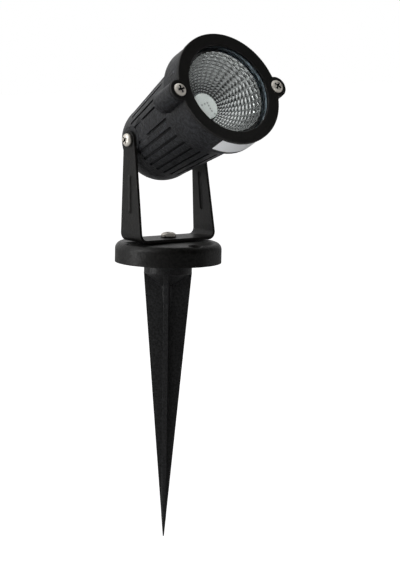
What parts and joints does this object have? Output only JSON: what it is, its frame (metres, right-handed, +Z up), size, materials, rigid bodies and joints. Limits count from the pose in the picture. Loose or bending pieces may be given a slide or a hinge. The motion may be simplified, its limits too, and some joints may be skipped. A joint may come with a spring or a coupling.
{
  "type": "garden spike spotlight",
  "caption": "Black garden spotlight: round lamp head that tilts in a U bracket, on a round base over a tapering ground spike.",
  "frame": {"origin": "centre of the base disc's underside, where the spike's collar meets it", "axes": "+Z up along the spike, X along the tilt axis, the lamp faces -Y and is tilted up at rest"},
  "size_m": [0.079, 0.1059, 0.2872],
  "materials": {
    "cast_black": "satin powder coat on a zinc casting",
    "housing_black": "satin black powder coat on die-cast aluminium, fine texture",
    "bezel_black": "satin black coat on die-cast aluminium",
    "strap_black": "satin black powder coat on steel strip",
    "spike_plastic": "fine moulded texture",
    "brass": "turned",
    "nylon": "matt",
    "screw_steel": "bright nickel plate",
    "clear_glass": "clear, polished",
    "silicone": "pale translucent",
    "reflector_bright": "bright, faceted",
    "diffuser_grey": "frosted",
    "phosphor": "satin",
    "board_aluminium": "white solder mask",
    "thermal_grey": "matt",
    "plate_aluminium": "milled",
    "wire_red": "satin",
    "case_plastic": "satin",
    "circuit_green": "solder mask",
    "ferrite": "tape and ferrite",
    "capacitor_sleeve": "sleeve",
    "gland_black": "satin",
    "seal_rubber": "matt",
    "label_white": "satin film, blank"
  },
  "bodies": {
    "base": {"base_disc": "cast_black", "spike": "spike_plastic", "spike_insert": "brass", "swivel_washer": "nylon", "base_lock_washer": "screw_steel", "base_screw": "screw_steel"},
    "bracket": {"bracket": "strap_black"},
    "head": {"housing": "housing_black", "bezel": "bezel_black", "bezel_screws": "screw_steel", "glass_lens": "clear_glass", "lens_gasket": "silicone", "reflector": "reflector_bright", "led_diffuser": "diffuser_grey", "led_emitter": "phosphor", "led_board": "board_aluminium", "thermal_pad": "thermal_grey", "heat_plate": "plate_aluminium", "plate_screws": "screw_steel", "board_screws": "screw_steel", "led_leads": "wire_red", "driver_case": "case_plastic", "driver_lid": "case_plastic", "driver_board": "circuit_green", "driver_transformer": "ferrite", "driver_capacitors": "capacitor_sleeve", "gland_body": "gland_black", "gland_ring": "seal_rubber", "gland_seal": "seal_rubber", "gland_cap": "gland_black", "gland_locknut": "gland_black", "tilt_screws": "screw_steel", "tilt_washers": "screw_steel", "rating_label": "label_white"}
  },
  "joints": [
    {"name": "bracket_swivel", "type": "hinge", "parent": "base", "child": "bracket", "pos_m": [0, 0, 0.0124], "axis": [0, 0, 1], "continuous": true},
    {"name": "head_tilt", "type": "hinge", "parent": "bracket", "child": "head", "pos_m": [0, 0.0056, 0.0691], "axis": [-1, 0, 0], "range_deg": [-58, 180]}
  ]
}
